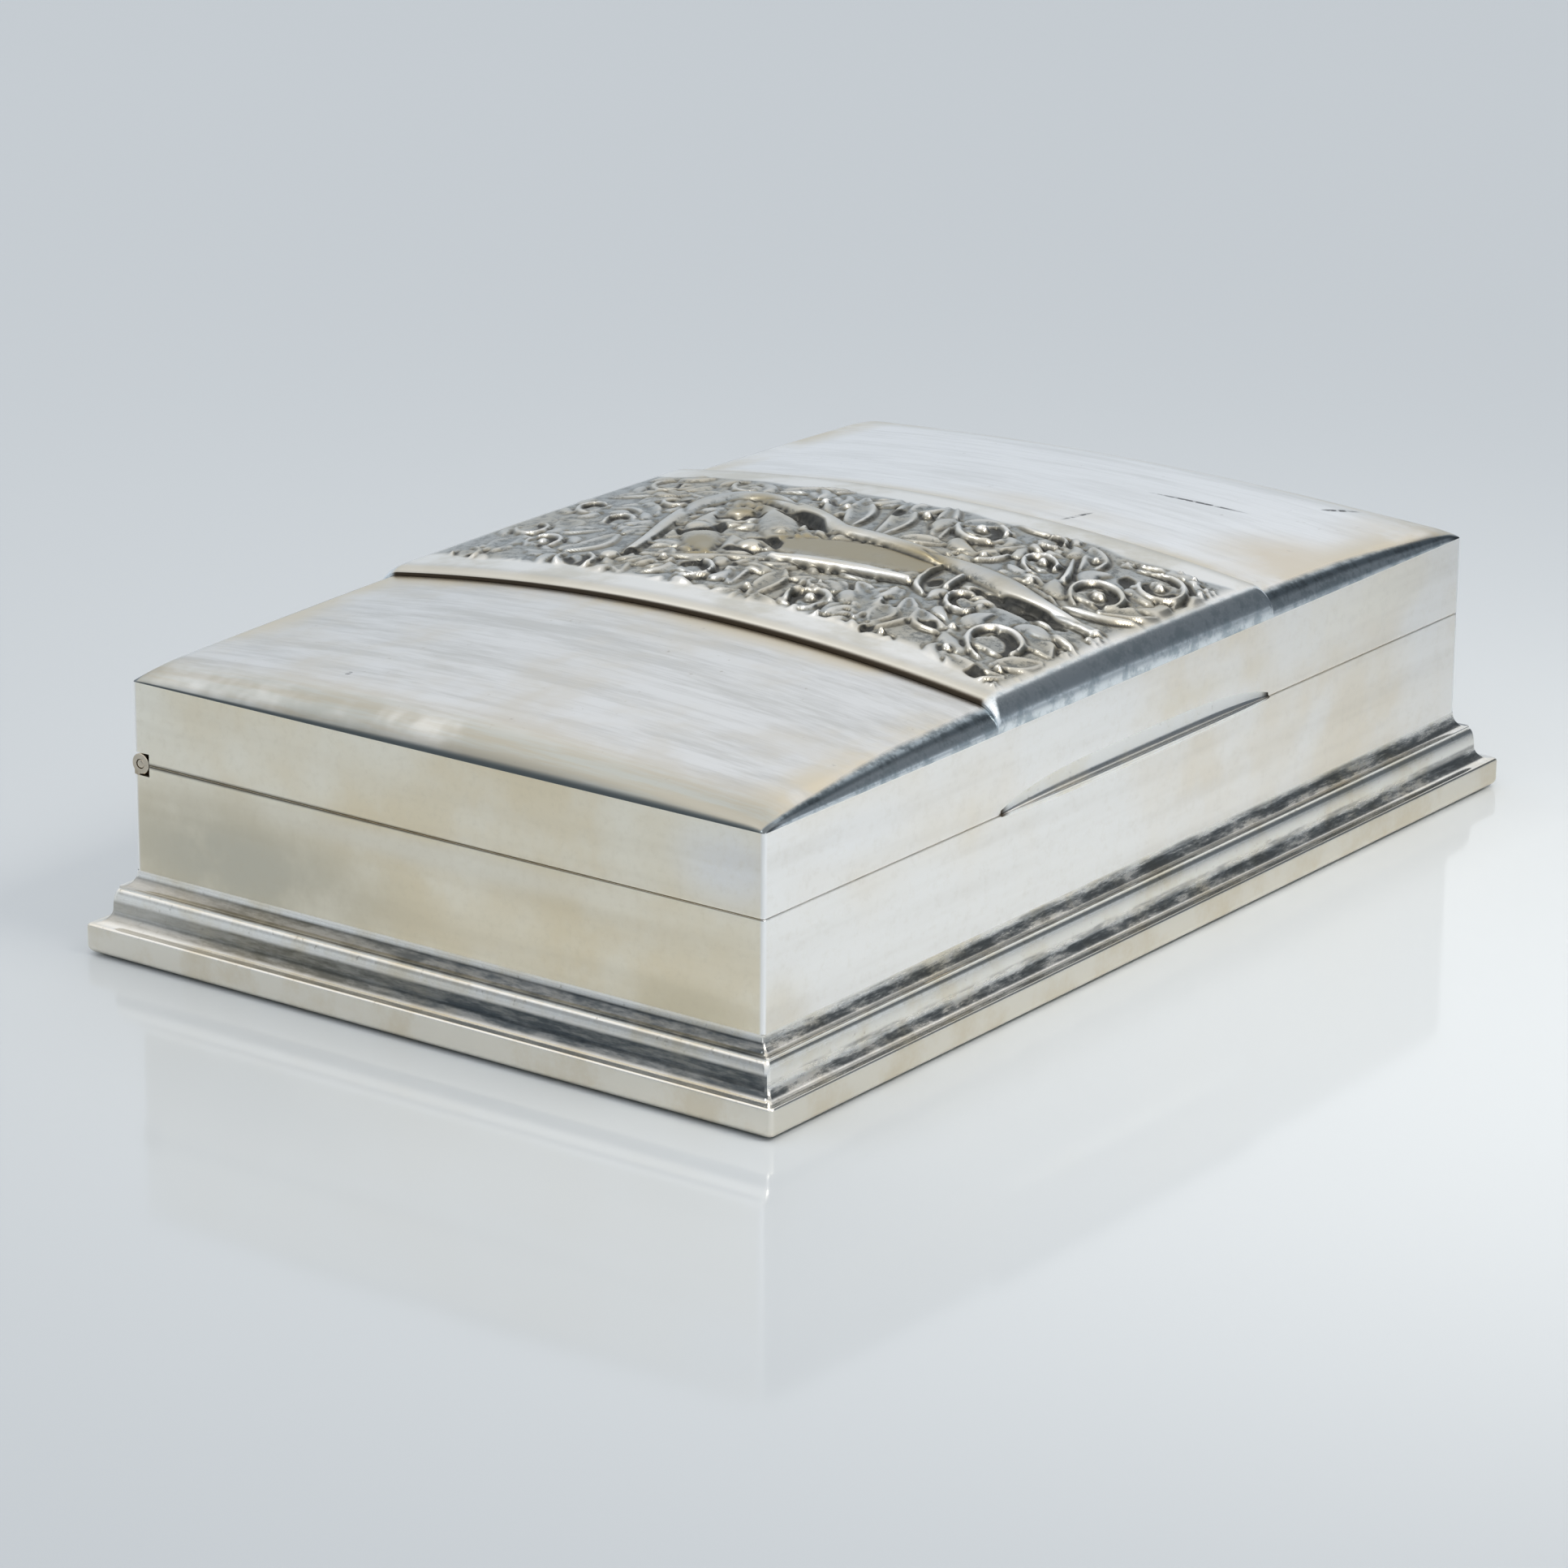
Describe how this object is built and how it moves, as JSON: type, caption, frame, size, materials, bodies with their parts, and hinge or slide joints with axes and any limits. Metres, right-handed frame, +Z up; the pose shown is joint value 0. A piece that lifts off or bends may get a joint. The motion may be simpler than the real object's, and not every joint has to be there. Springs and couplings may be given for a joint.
{
  "type": "cigarette box",
  "caption": "Low rectangular silver table box on a stepped base moulding, with a cedar-lined inside and a hinged domed lid crossed by a raised band of scroll relief.",
  "frame": {"origin": "centre of the underside, on the table the box rests on", "axes": "+X along the length to the right as seen from the front, -Y towards the front with the thumbpiece, +Z up"},
  "size_m": [0.1694, 0.1082, 0.0452],
  "materials": {
    "silver": "old polished silver, finely brushed, light straw tarnish",
    "relief_silver": "embossed silver, oxidised in the hollows and polished on the high points",
    "gilt": "satin gilt",
    "cedar": "bare cedar, fine straight grain",
    "base_wood": "dark stained wood",
    "felt": "dark green felt"
  },
  "bodies": {
    "box": {"moulding_front": "silver", "moulding_right": "silver", "moulding_back": "silver", "moulding_left": "silver", "wall_front": "silver", "wall_right": "silver", "wall_back": "silver", "wall_left": "silver", "base_board": "base_wood", "base_felt": "felt", "lining_floor": "cedar", "lining_front": "cedar", "lining_right": "cedar", "lining_back": "cedar", "lining_left": "cedar", "lining_divider": "cedar", "body_knuckle_1": "silver", "body_knuckle_2": "silver", "body_knuckle_3": "silver", "body_knuckle_4": "silver", "hinge_pin": "silver"},
    "lid": {"lid_rim_front": "silver", "lid_rim_right": "silver", "lid_rim_back": "silver", "lid_rim_left": "silver", "lid_top": "silver", "embossed_band": "relief_silver", "thumbpiece": "silver", "lid_liner": "gilt", "lid_knuckle_1": "silver", "lid_knuckle_2": "silver", "lid_knuckle_3": "silver"}
  },
  "joints": [
    {"name": "lid_hinge", "type": "hinge", "parent": "box", "child": "lid", "pos_m": [0, 0.04835, 0.0253], "axis": [-1, 0, 0], "range_deg": [0, 110]}
  ]
}
